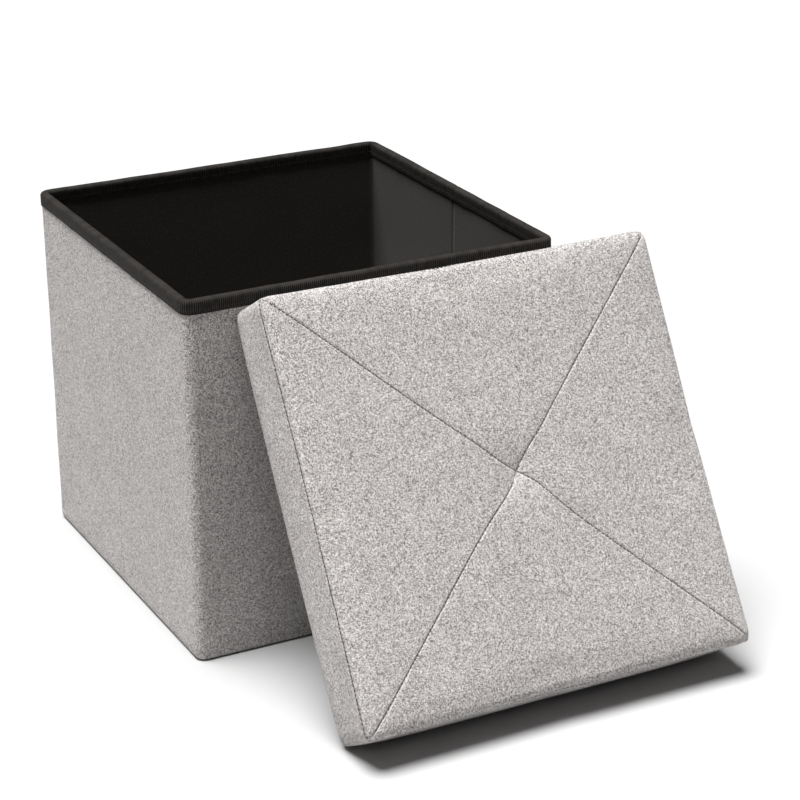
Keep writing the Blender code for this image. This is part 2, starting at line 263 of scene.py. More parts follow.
# Zinc-plated pressed steel: grey, with a faint spangle.
def platedSteel(name):
    material, tree, shader = newMaterial(name, 0.35, 0.5, metallic=1.0)
    place = objectPlace(tree)
    spangle = addNode(tree, "ShaderNodeTexVoronoi", {"feature": "F1"}, {"Vector": place, "Scale": 500.0})
    colour = rampOf(tree, spangle.outputs["Distance"], [(0.0, "#9fa2a5"), (1.0, "#c9cbcd")])
    tree.links.new(colour, shader.inputs["Base Color"])
    return material


linen = wovenLinen("linenLookWeave")
lining = bondedLining("spunbondLining")
ribbon = ribbedRibbon("grosgrainBinding")
blackThread = spunThread("blackSewingThread", "#0b0a0a", "#2c2927")
# dark grey thread: the tuft's thread, and dark dashes in the lid's seams as painted shade
greyThreadAndSeamShade = spunThread("greySewingThreadAndSeamShade", "#1d1b1a", "#3a3735")
board = pressedBoard("pressedFibreboard")
steel = platedSteel("zincPlatedSteel")
print("materials made")


def finishPiece(mesh, name, materials, sharpAngle=50):
    data = bpy.data.meshes.new(name)
    mesh.to_mesh(data)
    mesh.free()
    for material in materials:
        data.materials.append(material)
    data.shade_smooth()
    data.set_sharp_from_angle(angle=math.radians(sharpAngle))
    piece = bpy.data.objects.new(name, data)
    scene.collection.objects.link(piece)
    return piece


def addBlock(mesh, middle, size):
    bmesh.ops.create_cube(mesh, size=1.0)
    bmesh.ops.scale(mesh, vec=size, verts=mesh.verts[:])
    bmesh.ops.translate(mesh, vec=middle, verts=mesh.verts[:])


def uprightEdges(mesh, tall):
    return [e for e in mesh.edges if abs(e.verts[0].co.z - e.verts[1].co.z) > tall / 2]


def roundEdges(mesh, edges, radius, segments):
    bmesh.ops.bevel(mesh, geom=edges, offset=radius, offset_type="OFFSET", segments=segments, profile=0.5,
                    affect="EDGES", material=-1)


def cutAcross(mesh, place, normal):
    bmesh.ops.bisect_plane(mesh, geom=mesh.verts[:] + mesh.edges[:] + mesh.faces[:], dist=1e-6,
                           plane_co=place, plane_no=normal)


def cutGrid(mesh, low, high, cuts):
    for step in range(1, cuts):
        for normal in (Vector((1, 0, 0)), Vector((0, 1, 0))):
            cutAcross(mesh, low.lerp(high, step / cuts), normal)


def turnOutwards(mesh, towards):
    # open cloth: its face side looks the given way
    bmesh.ops.recalc_face_normals(mesh, faces=mesh.faces[:])
    total = sum(face.normal.dot(towards) * face.calc_area() for face in mesh.faces)
    if total < 0:
        bmesh.ops.reverse_faces(mesh, faces=mesh.faces[:])
        mesh.normal_update()


def ruffle(mesh, depth, size):
    # hand-laid cloth is never quite flat: moves along its normals, the same in every piece
    for vertex in mesh.verts:
        vertex.co += vertex.normal * depth * noise.noise(vertex.co / size)


def clothAround(point, centre, half, radius):
    # distance run round a box with rounded uprights, for a face with that centre
    flat = half - radius
    quarter = 2 * flat + radius * math.pi / 2
    side = round(math.atan2(centre.x, -centre.y) / (math.pi / 2))
    turned = Matrix.Rotation(-side * math.pi / 2, 3, "Z") @ point
    past = abs(turned.x) - flat
    run = turned.x
    if past > 0:
        run = math.copysign(flat + radius * math.atan2(past, -turned.y - flat), turned.x)
    return run + side * quarter


def layCloth(mesh, place):
    # the cloth's own map in metres, from a function of point and face
    layer = mesh.loops.layers.uv.new("cloth")
    for face in mesh.faces:
        middle = face.calc_center_median()
        for loop in face.loops:
            loop[layer].uv = place(loop.vert.co, middle, face.normal)


stitchLook = {"length": 0.0026, "width": 0.0006, "height": 0.0005, "pitch": 0.0040}


def makeStitch():
    # one small lens of thread along X, a unit long, copied wherever a seam shows
    mesh = bmesh.new()
    bmesh.ops.create_uvsphere(mesh, u_segments=6, v_segments=4, radius=0.5)
    bmesh.ops.rotate(mesh, cent=(0, 0, 0), matrix=Matrix.Rotation(math.pi / 2, 3, "Y"), verts=mesh.verts[:])
    data = bpy.data.meshes.new("stitch")
    mesh.to_mesh(data)
    mesh.free()
    return data


stitch = makeStitch()


def addStitch(mesh, place, along, outward, slot=0, look=stitchLook):
    sideways = outward.cross(along).normalized()
    turn = Matrix((along, sideways, outward)).transposed().to_4x4()
    size = Matrix.Diagonal((look["length"], look["width"], look["height"], 1.0))
    copy = stitch.copy()
    copy.transform(Matrix.Translation(place) @ turn @ size)
    for face in copy.polygons:
        face.material_index = slot
    mesh.from_mesh(copy)
    bpy.data.meshes.remove(copy)


half = -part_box("front_cover")[0].y
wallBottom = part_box("front_cover")[0].z
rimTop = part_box("front_binding")[1].z
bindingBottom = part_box("front_binding")[0].z
bindingProud = -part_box("front_binding")[0].y - half
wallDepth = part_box("front_lining")[1].y + half

wallSpec = {
    "cornerRadius": 0.010,
    "leg": 0.004,              # flat cloth at each end of a corner piece
    "creaseHalf": 0.012,
    "cornerSteps": 14,
    "straightStep": 0.012,
    "heightCuts": 26,
    "coverThickness": 0.0010,
    "liningThickness": 0.0008,
    "bindingThickness": 0.0010,
    "clothGap": 0.0001,        # between the wall's cloth and the hem under it
    "waviness": 0.0005,
    "waveSize": 0.055,
    "creaseDip": 0.0007,
    "creaseWidth": 0.0022,
    "bindingRounding": 0.0032,
    "bindingDrop": 0.0012,     # how far the ribbon's edge hangs below its stitched line
    "bindingSwell": 0.00035,
    "bindingSwellSize": 0.018,
    "bindingWander": 0.0005,   # how far the ribbon strays up and down
    "bindingWanderSize": 0.03,
    "stitchRow": 0.0022,       # above the binding's lower line
    "coverStop": 0.006,        # the cover and the lining end this far under the rim
    "liningStop": 0.004,
    "coverBend": 0.002,        # half the width that bends at a crease, in each layer
    "liningBend": 0.006,
    "bindingBend": 0.003,
}
flatHalf = half - wallSpec["cornerRadius"]
legEnd = flatHalf - wallSpec["leg"]
creaseHalf = wallSpec["creaseHalf"]

# side 0 is the front, then anticlockwise from above; runs go along the side
sections = [
    {"name": "Front", "side": 0, "run": (-legEnd, legEnd), "body": "front_wall", "node": "front"},
    {"name": "RightFront", "side": 1, "run": (-legEnd, -creaseHalf), "body": "right_front_panel",
     "node": "right_front"},
    {"name": "RightRear", "side": 1, "run": (creaseHalf, legEnd), "body": "right_rear_panel",
     "node": "right_rear"},
    {"name": "Back", "side": 2, "run": (-legEnd, legEnd), "body": "back_wall", "node": "back"},
    {"name": "LeftRear", "side": 3, "run": (-legEnd, -creaseHalf), "body": "left_rear_panel",
     "node": "left_rear"},
    {"name": "LeftFront", "side": 3, "run": (creaseHalf, legEnd), "body": "left_front_panel",
     "node": "left_front"},
    {"name": "RightCrease", "side": 1, "run": (-creaseHalf, creaseHalf),
     "bend": ("right_front_panel", "right_rear_panel"), "hinge": "right_crease_hinge"},
    {"name": "LeftCrease", "side": 3, "run": (-creaseHalf, creaseHalf),
     "bend": ("left_rear_panel", "left_front_panel"), "hinge": "left_crease_hinge"},
    {"name": "FrontRightCorner", "side": 0, "bend": ("front_wall", "right_front_panel"),
     "hinge": "front_right_hinge"},
    {"name": "BackRightCorner", "side": 1, "bend": ("right_rear_panel", "back_wall"),
     "hinge": "back_right_hinge"},
    {"name": "BackLeftCorner", "side": 2, "body": "back_wall", "hinge": "back_left_hinge"},
    {"name": "FrontLeftCorner", "side": 3, "bend": ("left_front_panel", "front_wall"),
     "hinge": "front_left_hinge"},
]


def sweepAlong(mesh, geometry, start, end, step):
    # carries a profile along +X
    steps = max(1, round((end - start) / step))
    move = Vector(((end - start) / steps, 0, 0))
    made = bmesh.ops.spin(mesh, geom=geometry, cent=(0, 0, 0), axis=(0, 0, 1), dvec=move, angle=0.0,
                          steps=steps, use_duplicate=False)
    return made["geom_last"]


def sweepSection(mesh, geometry, section):
    # straight run, or leg, quarter turn and leg; made on the front side and turned to its own
    spec = wallSpec
    if "run" in section:
        start, end = section["run"]
        step = spec["straightStep"] if end - start > 3 * creaseHalf else 0.001
        sweepAlong(mesh, geometry, start, end, step)
    else:
        geometry = sweepAlong(mesh, geometry, legEnd, flatHalf, 0.002)
        made = bmesh.ops.spin(mesh, geom=geometry, cent=(flatHalf, -flatHalf, 0), axis=(0, 0, 1),
                              dvec=(0, 0, 0), angle=math.pi / 2, steps=spec["cornerSteps"],
                              use_duplicate=False)
        steps = 2
        bmesh.ops.spin(mesh, geom=made["geom_last"], cent=(0, 0, 0), axis=(0, 0, 1),
                       dvec=(0, spec["leg"] / steps, 0), angle=0.0, steps=steps, use_duplicate=False)


def startProfile(mesh, points, section):
    # points are (depth behind the wall's outer face, height)
    at = section["run"][0] if "run" in section else legEnd
    line = [mesh.verts.new((at, depth - half, height)) for depth, height in points]
    edges = [mesh.edges.new(pair) for pair in zip(line, line[1:])]
    return line, edges


def wallMap(point, middle, normal):
    return clothAround(point, middle, half, wallSpec["cornerRadius"]), point.z


def sideTurn(section):
    return Matrix.Rotation(section["side"] * math.pi / 2, 3, "Z")


def turnToSide(mesh, section):
    bmesh.ops.rotate(mesh, cent=(0, 0, 0), matrix=sideTurn(section), verts=mesh.verts[:])
    mesh.normal_update()


def placeSection(piece, section):
    # rides its body; a piece that spans a joint keeps its placing baked in and rides no body
    if "body" in section:
        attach(piece, section["body"])
        return
    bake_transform(piece)


def dipCrease(mesh, sign):
    # the fold line pressed into the middle of a side wall
    for vertex in mesh.verts:
        away = vertex.co.x / wallSpec["creaseWidth"]
        vertex.co.y += sign * wallSpec["creaseDip"] * math.exp(-away * away)


def wallSheet(section, kind, points, outward, thickness, material):
    spec = wallSpec
    mesh = bmesh.new()
    edges = startProfile(mesh, points, section)[1]
    bmesh.ops.subdivide_edges(mesh, edges=edges[:1], cuts=spec["heightCuts"])
    sweepSection(mesh, mesh.verts[:] + mesh.edges[:], section)
    turnOutwards(mesh, outward)
    if section["name"].endswith("Crease"):
        dipCrease(mesh, 1 if kind == "cover" else -1)
    turnToSide(mesh, section)
    ruffle(mesh, spec["waviness"], spec["waveSize"])
    bmesh.ops.solidify(mesh, geom=mesh.faces[:], thickness=thickness)
    layCloth(mesh, wallMap)
    return finishPiece(mesh, kind + section["name"], [material])


def makeCover(section):
    spec = wallSpec
    top = rimTop - spec["coverStop"]
    points = [(0.0, wallBottom - spec["clothGap"]), (0.0, top)]
    piece = wallSheet(section, "cover", points, Vector((0.35, -1, 0)), spec["coverThickness"], linen)
    placeSection(piece, section)
    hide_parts(section["node"] + "_cover" if "node" in section else section["hinge"])


def makeLining(section):
    spec = wallSpec
    top = rimTop - spec["liningStop"]
    points = [(wallDepth, wallBottom), (wallDepth, top)]
    piece = wallSheet(section, "lining", points, Vector((-0.35, 1, 0)), spec["liningThickness"], lining)
    placeSection(piece, section)
    if "node" in section:
        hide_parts(section["node"] + "_lining")


def makeBinding(section):
    # ribbon folded over the rim, its edges a little wavy, with a row of stitches through both sides
    spec = wallSpec
    mesh = bmesh.new()
    outer = -bindingProud
    inner = wallDepth + bindingProud
    edge = bindingBottom - spec["bindingDrop"]
    points = [(outer, edge), (outer, rimTop), (inner, rimTop), (inner, edge)]
    line = startProfile(mesh, points, section)[0]
    bmesh.ops.bevel(mesh, geom=line[1:3], offset=spec["bindingRounding"], offset_type="OFFSET", segments=5,
                    profile=0.5, affect="VERTICES", material=-1)
    bmesh.ops.subdivide_edges(mesh, edges=uprightEdges(mesh, rimTop - bindingBottom), cuts=3)
    sweepSection(mesh, mesh.verts[:] + mesh.edges[:], section)
    turnOutwards(mesh, Vector((0, 0, 1)))
    if section["name"].endswith("Crease"):
        dipCrease(mesh, 0.6)
    turnToSide(mesh, section)
    for vertex in mesh.verts:
        low = (rimTop - vertex.co.z) / (rimTop - bindingBottom)
        uneven = noise.noise(vertex.co / spec["bindingSwellSize"])
        vertex.co += vertex.normal * spec["bindingSwell"] * uneven * low
        stray = noise.noise(vertex.co / spec["bindingWanderSize"] + Vector((5, 0, 0)))
        vertex.co.z += spec["bindingWander"] * stray
    surface = BVHTree.FromBMesh(mesh)
    bmesh.ops.solidify(mesh, geom=mesh.faces[:], thickness=spec["bindingThickness"])
    layCloth(mesh, wallMap)
    stitchBinding(mesh, section, surface)
    piece = finishPiece(mesh, "binding" + section["name"], [ribbon, blackThread])
    placeSection(piece, section)
    if "node" in section:
        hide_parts(section["node"] + "_binding")


def stitchBinding(mesh, section, surface):
    # a row of stitches just above the ribbon's lower edge, outside and inside
    turn = sideTurn(section)
    height = bindingBottom + wallSpec["stitchRow"]
    pitch = stitchLook["pitch"]
    if "run" in section:
        start, end = section["run"]
        count = max(1, round((end - start) / pitch))
        places = [(Vector((start + (i + 0.5) * (end - start) / count, -half, height)), Vector((1, 0, 0)))
                  for i in range(count)]
    else:
        turns = 5
        centre = Vector((flatHalf, -flatHalf, height))
        places = []
        for i in range(turns):
            angle = (i + 0.5) / turns * math.pi / 2
            outward = Vector((math.sin(angle), -math.cos(angle), 0))
            places.append((centre + outward * wallSpec["cornerRadius"],
                           Vector((math.cos(angle), math.sin(angle), 0))))
    for place, along in places:
        outward = along.cross(Vector((0, 0, 1)))
        for direction in (outward, -outward):
            start = place + direction * 0.02 - outward * wallDepth / 2
            hit = surface.ray_cast(turn @ start, -(turn @ direction), 0.04)
            if hit[0] is not None:
                addStitch(mesh, hit[0], turn @ along, turn @ direction, slot=1)


for section in sections:
    makeCover(section)
    makeLining(section)
    makeBinding(section)
print("walls dressed:", len(sections), "runs of cover, lining and binding")


bottomSpec = {
    "rounding": 0.0045,
    "thickness": 0.0010,
    "gridCuts": 30,
}


def flatMap(point, middle, normal):
    return point.x, point.y


def bottomMap(point, middle, normal):
    return wallMap(point, middle, normal) if abs(normal.z) < 0.7 else flatMap(point, middle, normal)


def makeBottom():
    # the cloth tray under the box, its hem level with the walls' cloth
    spec = bottomSpec
    top = wallBottom - wallSpec["clothGap"] * 1.5
    mesh = bmesh.new()
    addBlock(mesh, Vector((0, 0, top / 2)), Vector((2 * half, 2 * half, top)))
    roundEdges(mesh, uprightEdges(mesh, top), wallSpec["cornerRadius"], wallSpec["cornerSteps"])
    mouth = [f for f in mesh.faces if f.calc_center_median().z > top - 1e-6]
    bmesh.ops.delete(mesh, geom=mouth, context="FACES_ONLY")
    hem = [e for e in mesh.edges if max(v.co.z for v in e.verts) < 1e-6]
    roundEdges(mesh, hem, spec["rounding"], 5)
    cutGrid(mesh, Vector((-half, -half, 0)), Vector((half, half, 0)), spec["gridCuts"])
    turnOutwards(mesh, Vector((0, 0, -1)))
    bmesh.ops.solidify(mesh, geom=mesh.faces[:], thickness=spec["thickness"])
    layCloth(mesh, bottomMap)
    for face in mesh.faces:
        if face.normal.z > 0.5 and face.calc_center_median().z > spec["thickness"] / 2:
            face.material_index = 1    # its inner face is the black lining
    piece = finishPiece(mesh, "bottomCloth", [linen, lining])
    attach(piece, "front_wall")
    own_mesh(piece)
    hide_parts("bottom_cloth")


wrapSpec = {"gridCuts": 24, "waveSize": 0.05}


def makeWrappedBoard(low, high, edge, waviness):
    # cloth drawn over a board and turned round its edge
    mesh = bmesh.new()
    addBlock(mesh, (low + high) / 2, high - low)
    tall = high.z - low.z
    roundEdges(mesh, uprightEdges(mesh, tall), edge, 6)
    rims = [e for e in mesh.edges if abs(e.verts[0].co.z - e.verts[1].co.z) < 1e-6
            and len(e.link_faces) == 2 and abs(e.calc_face_angle(0)) > 0.5]
    bmesh.ops.bevel(mesh, geom=rims, offset=tall * 0.35, offset_type="OFFSET", segments=2, profile=0.5,
                    affect="EDGES", material=-1, clamp_overlap=True)
    cutGrid(mesh, low, high, wrapSpec["gridCuts"])
    mesh.normal_update()
    for vertex in mesh.verts:
        if vertex.co.z > (low.z + high.z) / 2:
            vertex.co.z += waviness * noise.noise(vertex.co / wrapSpec["waveSize"])
    layCloth(mesh, flatMap)
    return mesh


def makeBaseLining():
    low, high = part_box("base_lining")
    mesh = makeWrappedBoard(low, high, edge=0.003, waviness=0.0003)
    piece = finishPiece(mesh, "baseLiningCloth", [lining])
    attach(piece, "base")
    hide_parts("base_lining")


makeBottom()
makeBaseLining()
print("bottom and base cloth made")


lidSpec = {
    "lean": 31.0,              # degrees from upright
    "middle": 0.056,           # how far the lid stands right of the box's middle
    "foot": (-0.39357, 0.0003),
    "size": 0.396,
    "thickness": 0.070,
    "underside": 0.0003,
}
lidFoot = Vector((lidSpec["middle"], *lidSpec["foot"]))
lidPlace = (Matrix.Translation(lidFoot)
            @ Matrix.Rotation(math.radians(90 - lidSpec["lean"]), 4, "X"))
lidMiddle = Vector((0, lidSpec["size"] / 2, 0))

cushionSpec = {
    "spare": 0.0012,           # starts this much outside the board and swells
    "cornerRadius": 0.008,
    "topRounding": 0.004,
    "voxel": 0.005,
    "pressure": 4.0,
    "frames": 20,
    "sideCap": 0.0030,
    "topCap": 0.0030,
    "inward": 0.15,            # share of an inward move that the foam allows
    "calming": 8,              # rounds that take the small wrinkles out of the swelling
    "tuftDepth": 0.0030,
    "tuftHold": 0.006,
    "heldEdge": 0.004,         # the cover is stapled to the board up to here
    "tuftSpread": 0.018,
    "tuftPull": (0.0044, 0.0015),  # the thread drags the middle of the seams this far
    "tuftReach": 0.055,
    "pitDepth": 0.0012,
    "pitWidth": 0.0045,
    "creaseDepth": 0.0004,
    "seamHeight": 0.0625,      # gusset seam above the underside
    "seamDepth": 0.0004,
    "seamWidth": 0.0020,
    "slitDepth": 0.0012,
    "slitWidth": 0.0006,
    "pucker": 0.00015,
    "twist": 9.0,              # degrees that the seams bend by at the tuft
    "twistReach": 0.030,
    "upperPart": 0.03,         # only what lies above this is drawn in by seams and the tuft
    "seamCuts": (0.0018, 0.0042),  # extra edges at these distances from a seam
    "threadTop": 0.050,        # the tuft's thread ends here, inside the foam
    "firstStitch": 0.012,      # from the tuft
    "panelShift": 0.7,         # sets the panels' cloth apart, so that no two share their grain
}
seamStitch = {"length": 0.0032, "width": 0.0010, "height": 0.0008, "pitch": 0.0042, "lift": 0.0007}


def cushionBlock():
    # the foam's shape before its cover swells, lying on its board
    spec = cushionSpec
    side = lidSpec["size"] + 2 * spec["spare"]
    low = lidSpec["underside"]
    tall = lidSpec["thickness"] - low
    mesh = bmesh.new()
    addBlock(mesh, lidMiddle + Vector((0, 0, low + tall / 2)), Vector((side, side, tall)))
    roundEdges(mesh, uprightEdges(mesh, tall), spec["cornerRadius"], 8)
    rim = [e for e in mesh.edges if min(v.co.z for v in e.verts) > low + tall - 1e-5]
    roundEdges(mesh, rim, spec["topRounding"], 4)
    return mesh


def calmed(data, moves, rounds):
    # each point's move, evened out with its neighbours'
    neighbours = [[] for _ in data.vertices]
    for edge in data.edges:
        first, second = edge.vertices
        neighbours[first].append(second)
        neighbours[second].append(first)
    for _ in range(rounds):
        moves = [(moves[i] + sum((moves[j] for j in near), Vector()) / len(near)) / 2
                 for i, near in enumerate(neighbours)]
    return moves


def swell(piece, spec):
    # cloth under pressure, held at the board and at the tuft
    data = piece.data
    held = piece.vertex_groups.new(name="held")
    for vertex in data.vertices:
        reach = (vertex.co.xy - lidMiddle.xy).length
        if vertex.co.z > spec["upperPart"]:
            vertex.co.z -= spec["tuftDepth"] * math.exp(-(reach / spec["tuftSpread"]) ** 1.5)
        atBoard = vertex.co.z < lidSpec["underside"] + spec["heldEdge"]
        atTuft = vertex.co.z > spec["upperPart"] and reach < spec["tuftHold"]
        if atBoard or atTuft:
            held.add([vertex.index], 1.0, "REPLACE")
    rest = [vertex.co.copy() for vertex in data.vertices]
    cloth = piece.modifiers.new("swell", "CLOTH")
    cloth.point_cache.frame_start = 1
    cloth.point_cache.frame_end = spec["frames"]
    settings = cloth.settings
    settings.use_pressure = True
    settings.uniform_pressure_force = spec["pressure"]
    settings.effector_weights.gravity = 0
    settings.vertex_group_mass = "held"
    settings.tension_stiffness = 60
    settings.compression_stiffness = 60
    settings.bending_stiffness = 6
    for step in range(1, spec["frames"] + 1):
        scene.frame_set(step)
    shaped = piece.evaluated_get(bpy.context.evaluated_depsgraph_get())
    swollen = [vertex.co.copy() for vertex in shaped.data.vertices]
    piece.modifiers.remove(cloth)
    scene.frame_set(1)
    moves = []
    for vertex, was, now in zip(data.vertices, rest, swollen):
        move = now - was
        if move.dot(vertex.normal) < 0:
            move *= spec["inward"]
        if move.xy.length > spec["sideCap"]:
            move.xy *= spec["sideCap"] / move.xy.length
        move.z = max(-spec["topCap"], min(spec["topCap"], move.z))
        moves.append(move)
    for vertex, was, move in zip(data.vertices, rest, calmed(data, moves, spec["calming"])):
        vertex.co = was + move
    data.update()


def applyModifiers(piece):
    shaped = piece.evaluated_get(bpy.context.evaluated_depsgraph_get())
    data = bpy.data.meshes.new_from_object(shaped)
    piece.modifiers.clear()
    piece.data = data


def seamDistances(point):
    # to the two diagonal seams, measured across the top
    x = point.x
    y = point.y - lidMiddle.y
    return (x - y) / math.sqrt(2), (x + y) / math.sqrt(2)


def cutFaces(mesh, faces, place, normal):
    geometry = list({v for f in faces for v in f.verts}) + list({e for f in faces for e in f.edges}) + faces
    bmesh.ops.bisect_plane(mesh, geom=geometry, dist=0.00015, plane_co=place, plane_no=normal)
    mesh.normal_update()


def cutSeams(mesh):
    # edges along every seam and just beside it, so that the seam can be drawn in
    spec = cushionSpec
    fine = [0.0]
    for offset in (spec["slitWidth"], *spec["seamCuts"]):
        fine += [offset, -offset]
    for direction in (Vector((1, -1, 0)), Vector((1, 1, 0))):
        direction.normalize()
        for offset in fine:
            top = [f for f in mesh.faces if f.calc_center_median().z > 0.035 and f.normal.z > 0.5]
            cutFaces(mesh, top, lidMiddle + direction * offset, direction)
    for offset in fine[:5]:
        sides = [f for f in mesh.faces if f.calc_center_median().z > spec["upperPart"] and f.normal.z < 0.9]
        cutFaces(mesh, sides, Vector((0, 0, spec["seamHeight"] + offset)), Vector((0, 0, 1)))


def sewn(point, normal):
    # how far a seam draws the cloth in at that point, and how much the cloth puckers there
    spec = cushionSpec
    depth = 0.0
    pucker = 0.0
    if normal.z > 0.5:
        for away in seamDistances(point):
            along = noise.noise(point / 0.012)
            groove = math.exp(-(away / spec["seamWidth"]) ** 2)
            depth = max(depth, spec["seamDepth"] * groove
                        + spec["slitDepth"] * math.exp(-(away / (spec["slitWidth"] * 0.7)) ** 2))
            pucker += spec["pucker"] * along * math.exp(-(away / 0.010) ** 2)
    if normal.z < 0.9 and point.z > spec["upperPart"]:
        away = point.z - spec["seamHeight"]
        depth = max(depth, spec["seamDepth"] * 0.7 * math.exp(-(away / 0.0022) ** 2)
                    + spec["slitDepth"] * math.exp(-(away / (spec["slitWidth"] * 0.7)) ** 2))
        along = noise.noise(point / 0.011)
        pucker += spec["pucker"] * along * math.exp(-(away / 0.008) ** 2)
    return depth, pucker


def seamPull(flat):
    # the pull of the tuft's thread bends the seams as they reach it, and drags them off the middle
    spec = cushionSpec
    reach = flat.xy.length
    turn = math.radians(spec["twist"]) * math.exp(-(reach / spec["twistReach"]) ** 2)
    drag = Vector((*spec["tuftPull"], 0)) * math.exp(-(reach / spec["tuftReach"]) ** 2)
    return Matrix.Rotation(turn, 3, "Z") @ flat + drag


def drawSeams(mesh):
    spec = cushionSpec
    mesh.normal_update()
    moves = []
    for vertex in mesh.verts:
        depth, pucker = sewn(vertex.co, vertex.normal)
        moves.append(vertex.normal * (pucker - depth))
    for vertex, move in zip(mesh.verts, moves):
        vertex.co += move
    for vertex in mesh.verts:
        if vertex.co.z < spec["upperPart"]:
            continue
        flat = vertex.co - lidMiddle
        reach = flat.xy.length
        # creases that run out from the tuft, and the pit where its thread goes through
        angle = math.atan2(flat.y, flat.x)
        fold = math.cos(4 * angle + 0.6) * 0.6 + math.cos(7 * angle + 2.0) * 0.4
        near = math.exp(-(reach / spec["tuftReach"]) ** 2)
        vertex.co.z += spec["creaseDepth"] * fold * near * min(1.0, reach / 0.010)
        vertex.co.z -= spec["pitDepth"] * math.exp(-(reach / spec["pitWidth"]) ** 2)
        vertex.co.xy = seamPull(flat).xy + lidMiddle.xy


def cushionMap(point, middle, normal):
    # four top panels with their threads square to their own edge, and a gusset run round the side
    spec = cushionSpec
    flat = point - lidMiddle
    centre = middle - lidMiddle
    if normal.z > 0.75 and middle.z > spec["upperPart"]:
        panel = round(math.atan2(centre.x, -centre.y) / (math.pi / 2))
        flat = Matrix.Rotation(-panel * math.pi / 2, 3, "Z") @ flat
        return flat.x + panel * spec["panelShift"], flat.y
    if normal.z < -0.75:
        return flat.x, flat.y + 1.0
    return clothAround(flat, centre, lidSpec["size"] / 2, spec["cornerRadius"]), point.z + 2.0


def restOnFloor(mesh, matrix):
    # the lid's lower edge is pressed flat where it stands
    upright = Vector((0, 1, 0))
    rise = (matrix.to_3x3() @ upright).z
    for vertex in mesh.verts:
        under = lidFoot.z - (matrix @ vertex.co).z
        if under > 0:
            vertex.co += upright * under / rise


def stitchSeams(surface):
    # thread that shows in the seams as short dashes, part real thread and part painted shade: drawn dark to
    # stand for the seams' shadow dashes
    spec = cushionSpec
    mesh = bmesh.new()
    pitch = seamStitch["pitch"]
    down = Vector((0, 0, -1))
    reach = (lidSpec["size"] / 2 - spec["cornerRadius"] * 0.4) * math.sqrt(2)
    first = spec["firstStitch"]
    count = int((reach - first) / pitch)
    for quarter in range(4):
        angle = math.pi / 4 + quarter * math.pi / 2
        along = Vector((math.cos(angle), math.sin(angle), 0))
        for i in range(count):
            out = first + i * pitch
            place = lidMiddle + seamPull(along * out)
            hit = surface.ray_cast(place + Vector((0, 0, 0.1)), down)
            if hit[0] is None:
                continue
            lifted = hit[0] + Vector((0, 0, seamStitch["lift"]))
            addStitch(mesh, lifted, along, Vector((0, 0, 1)), look=seamStitch)
    lidHalf = lidSpec["size"] / 2
    flat = lidHalf - spec["cornerRadius"]
    quarterRun = 2 * flat + spec["cornerRadius"] * math.pi / 2
    count = round(4 * quarterRun / pitch)
    for i in range(count):
        run = i * 4 * quarterRun / count
        side, rest = divmod(run, quarterRun)
        if rest < 2 * flat:
            place = Vector((rest - flat, -lidHalf, 0))
            outward = Vector((0, -1, 0))
        else:
            angle = (rest - 2 * flat) / spec["cornerRadius"]
            outward = Vector((math.sin(angle), -math.cos(angle), 0))
            place = Vector((flat, -flat, 0)) + outward * spec["cornerRadius"]
        spun = Matrix.Rotation(side * math.pi / 2, 3, "Z")
        place, outward = spun @ place, spun @ outward
        place = place + lidMiddle + Vector((0, 0, spec["seamHeight"]))
        hit = surface.ray_cast(place + outward * 0.03, -outward)
        if hit[0] is None:
            continue
        along = Vector((0, 0, 1)).cross(outward)
        addStitch(mesh, hit[0] + outward * seamStitch["lift"], along, outward, look=seamStitch)
    return mesh


def makeCushion():
    spec = cushionSpec
    piece = finishPiece(cushionBlock(), "lidCushion", [linen], sharpAngle=180)
    remesh = piece.modifiers.new("even", "REMESH")
    remesh.mode = "VOXEL"
    remesh.voxel_size = spec["voxel"]
    applyModifiers(piece)
    swell(piece, spec)
    piece.vertex_groups.clear()
    finer = piece.modifiers.new("finer", "SUBSURF")
    finer.levels = finer.render_levels = 1
    applyModifiers(piece)
    print("cushion swollen:", len(piece.data.vertices), "points")
    mesh = bmesh.new()
    mesh.from_mesh(piece.data)
    mesh.normal_update()
    cutSeams(mesh)
    drawSeams(mesh)
    restOnFloor(mesh, lidPlace)
    mesh.normal_update()
    layCloth(mesh, cushionMap)
    surface = BVHTree.FromBMesh(mesh)
    threads = stitchSeams(surface)
    mesh.transform(lidPlace)
    data = bpy.data.meshes.new("lidCushion")
    mesh.to_mesh(data)
    mesh.free()
    data.materials.append(linen)
    data.shade_smooth()
    piece.data = data
    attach(piece, "lid")
    sides = ("bottom", "right", "top", "left")
    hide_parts("lid_foam", *["lid_top_" + s for s in sides], *["lid_gusset_" + s for s in sides])
    threads.transform(lidPlace)
    # the seam dashes, dark as painted shade in the seams
    seams = finishPiece(threads, "lidSeamThreadAndShade", [greyThreadAndSeamShade])
    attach(seams, "lid")


def makeLidLining():
    # black cloth glued over the board's underside, its edge turned in
    margin = 0.004
    size = lidSpec["size"]
    low = Vector((-size / 2 + margin, margin, 0.0))
    high = Vector((size / 2 - margin, size - margin, 0.0009))
    mesh = makeWrappedBoard(low, high, edge=0.012, waviness=0.0)
    mesh.transform(lidPlace)
    piece = finishPiece(mesh, "lidLiningCloth", [lining])
    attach(piece, "lid")
    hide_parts("lid_lining")


battenSpec = {"rounding": 0.0016, "cuts": 40, "waviness": 0.0003, "waveSize": 0.014}


def acrossMap(point, middle, normal):
    return point.x, point.y + point.z


def alongMap(point, middle, normal):
    return point.y, point.x + point.z


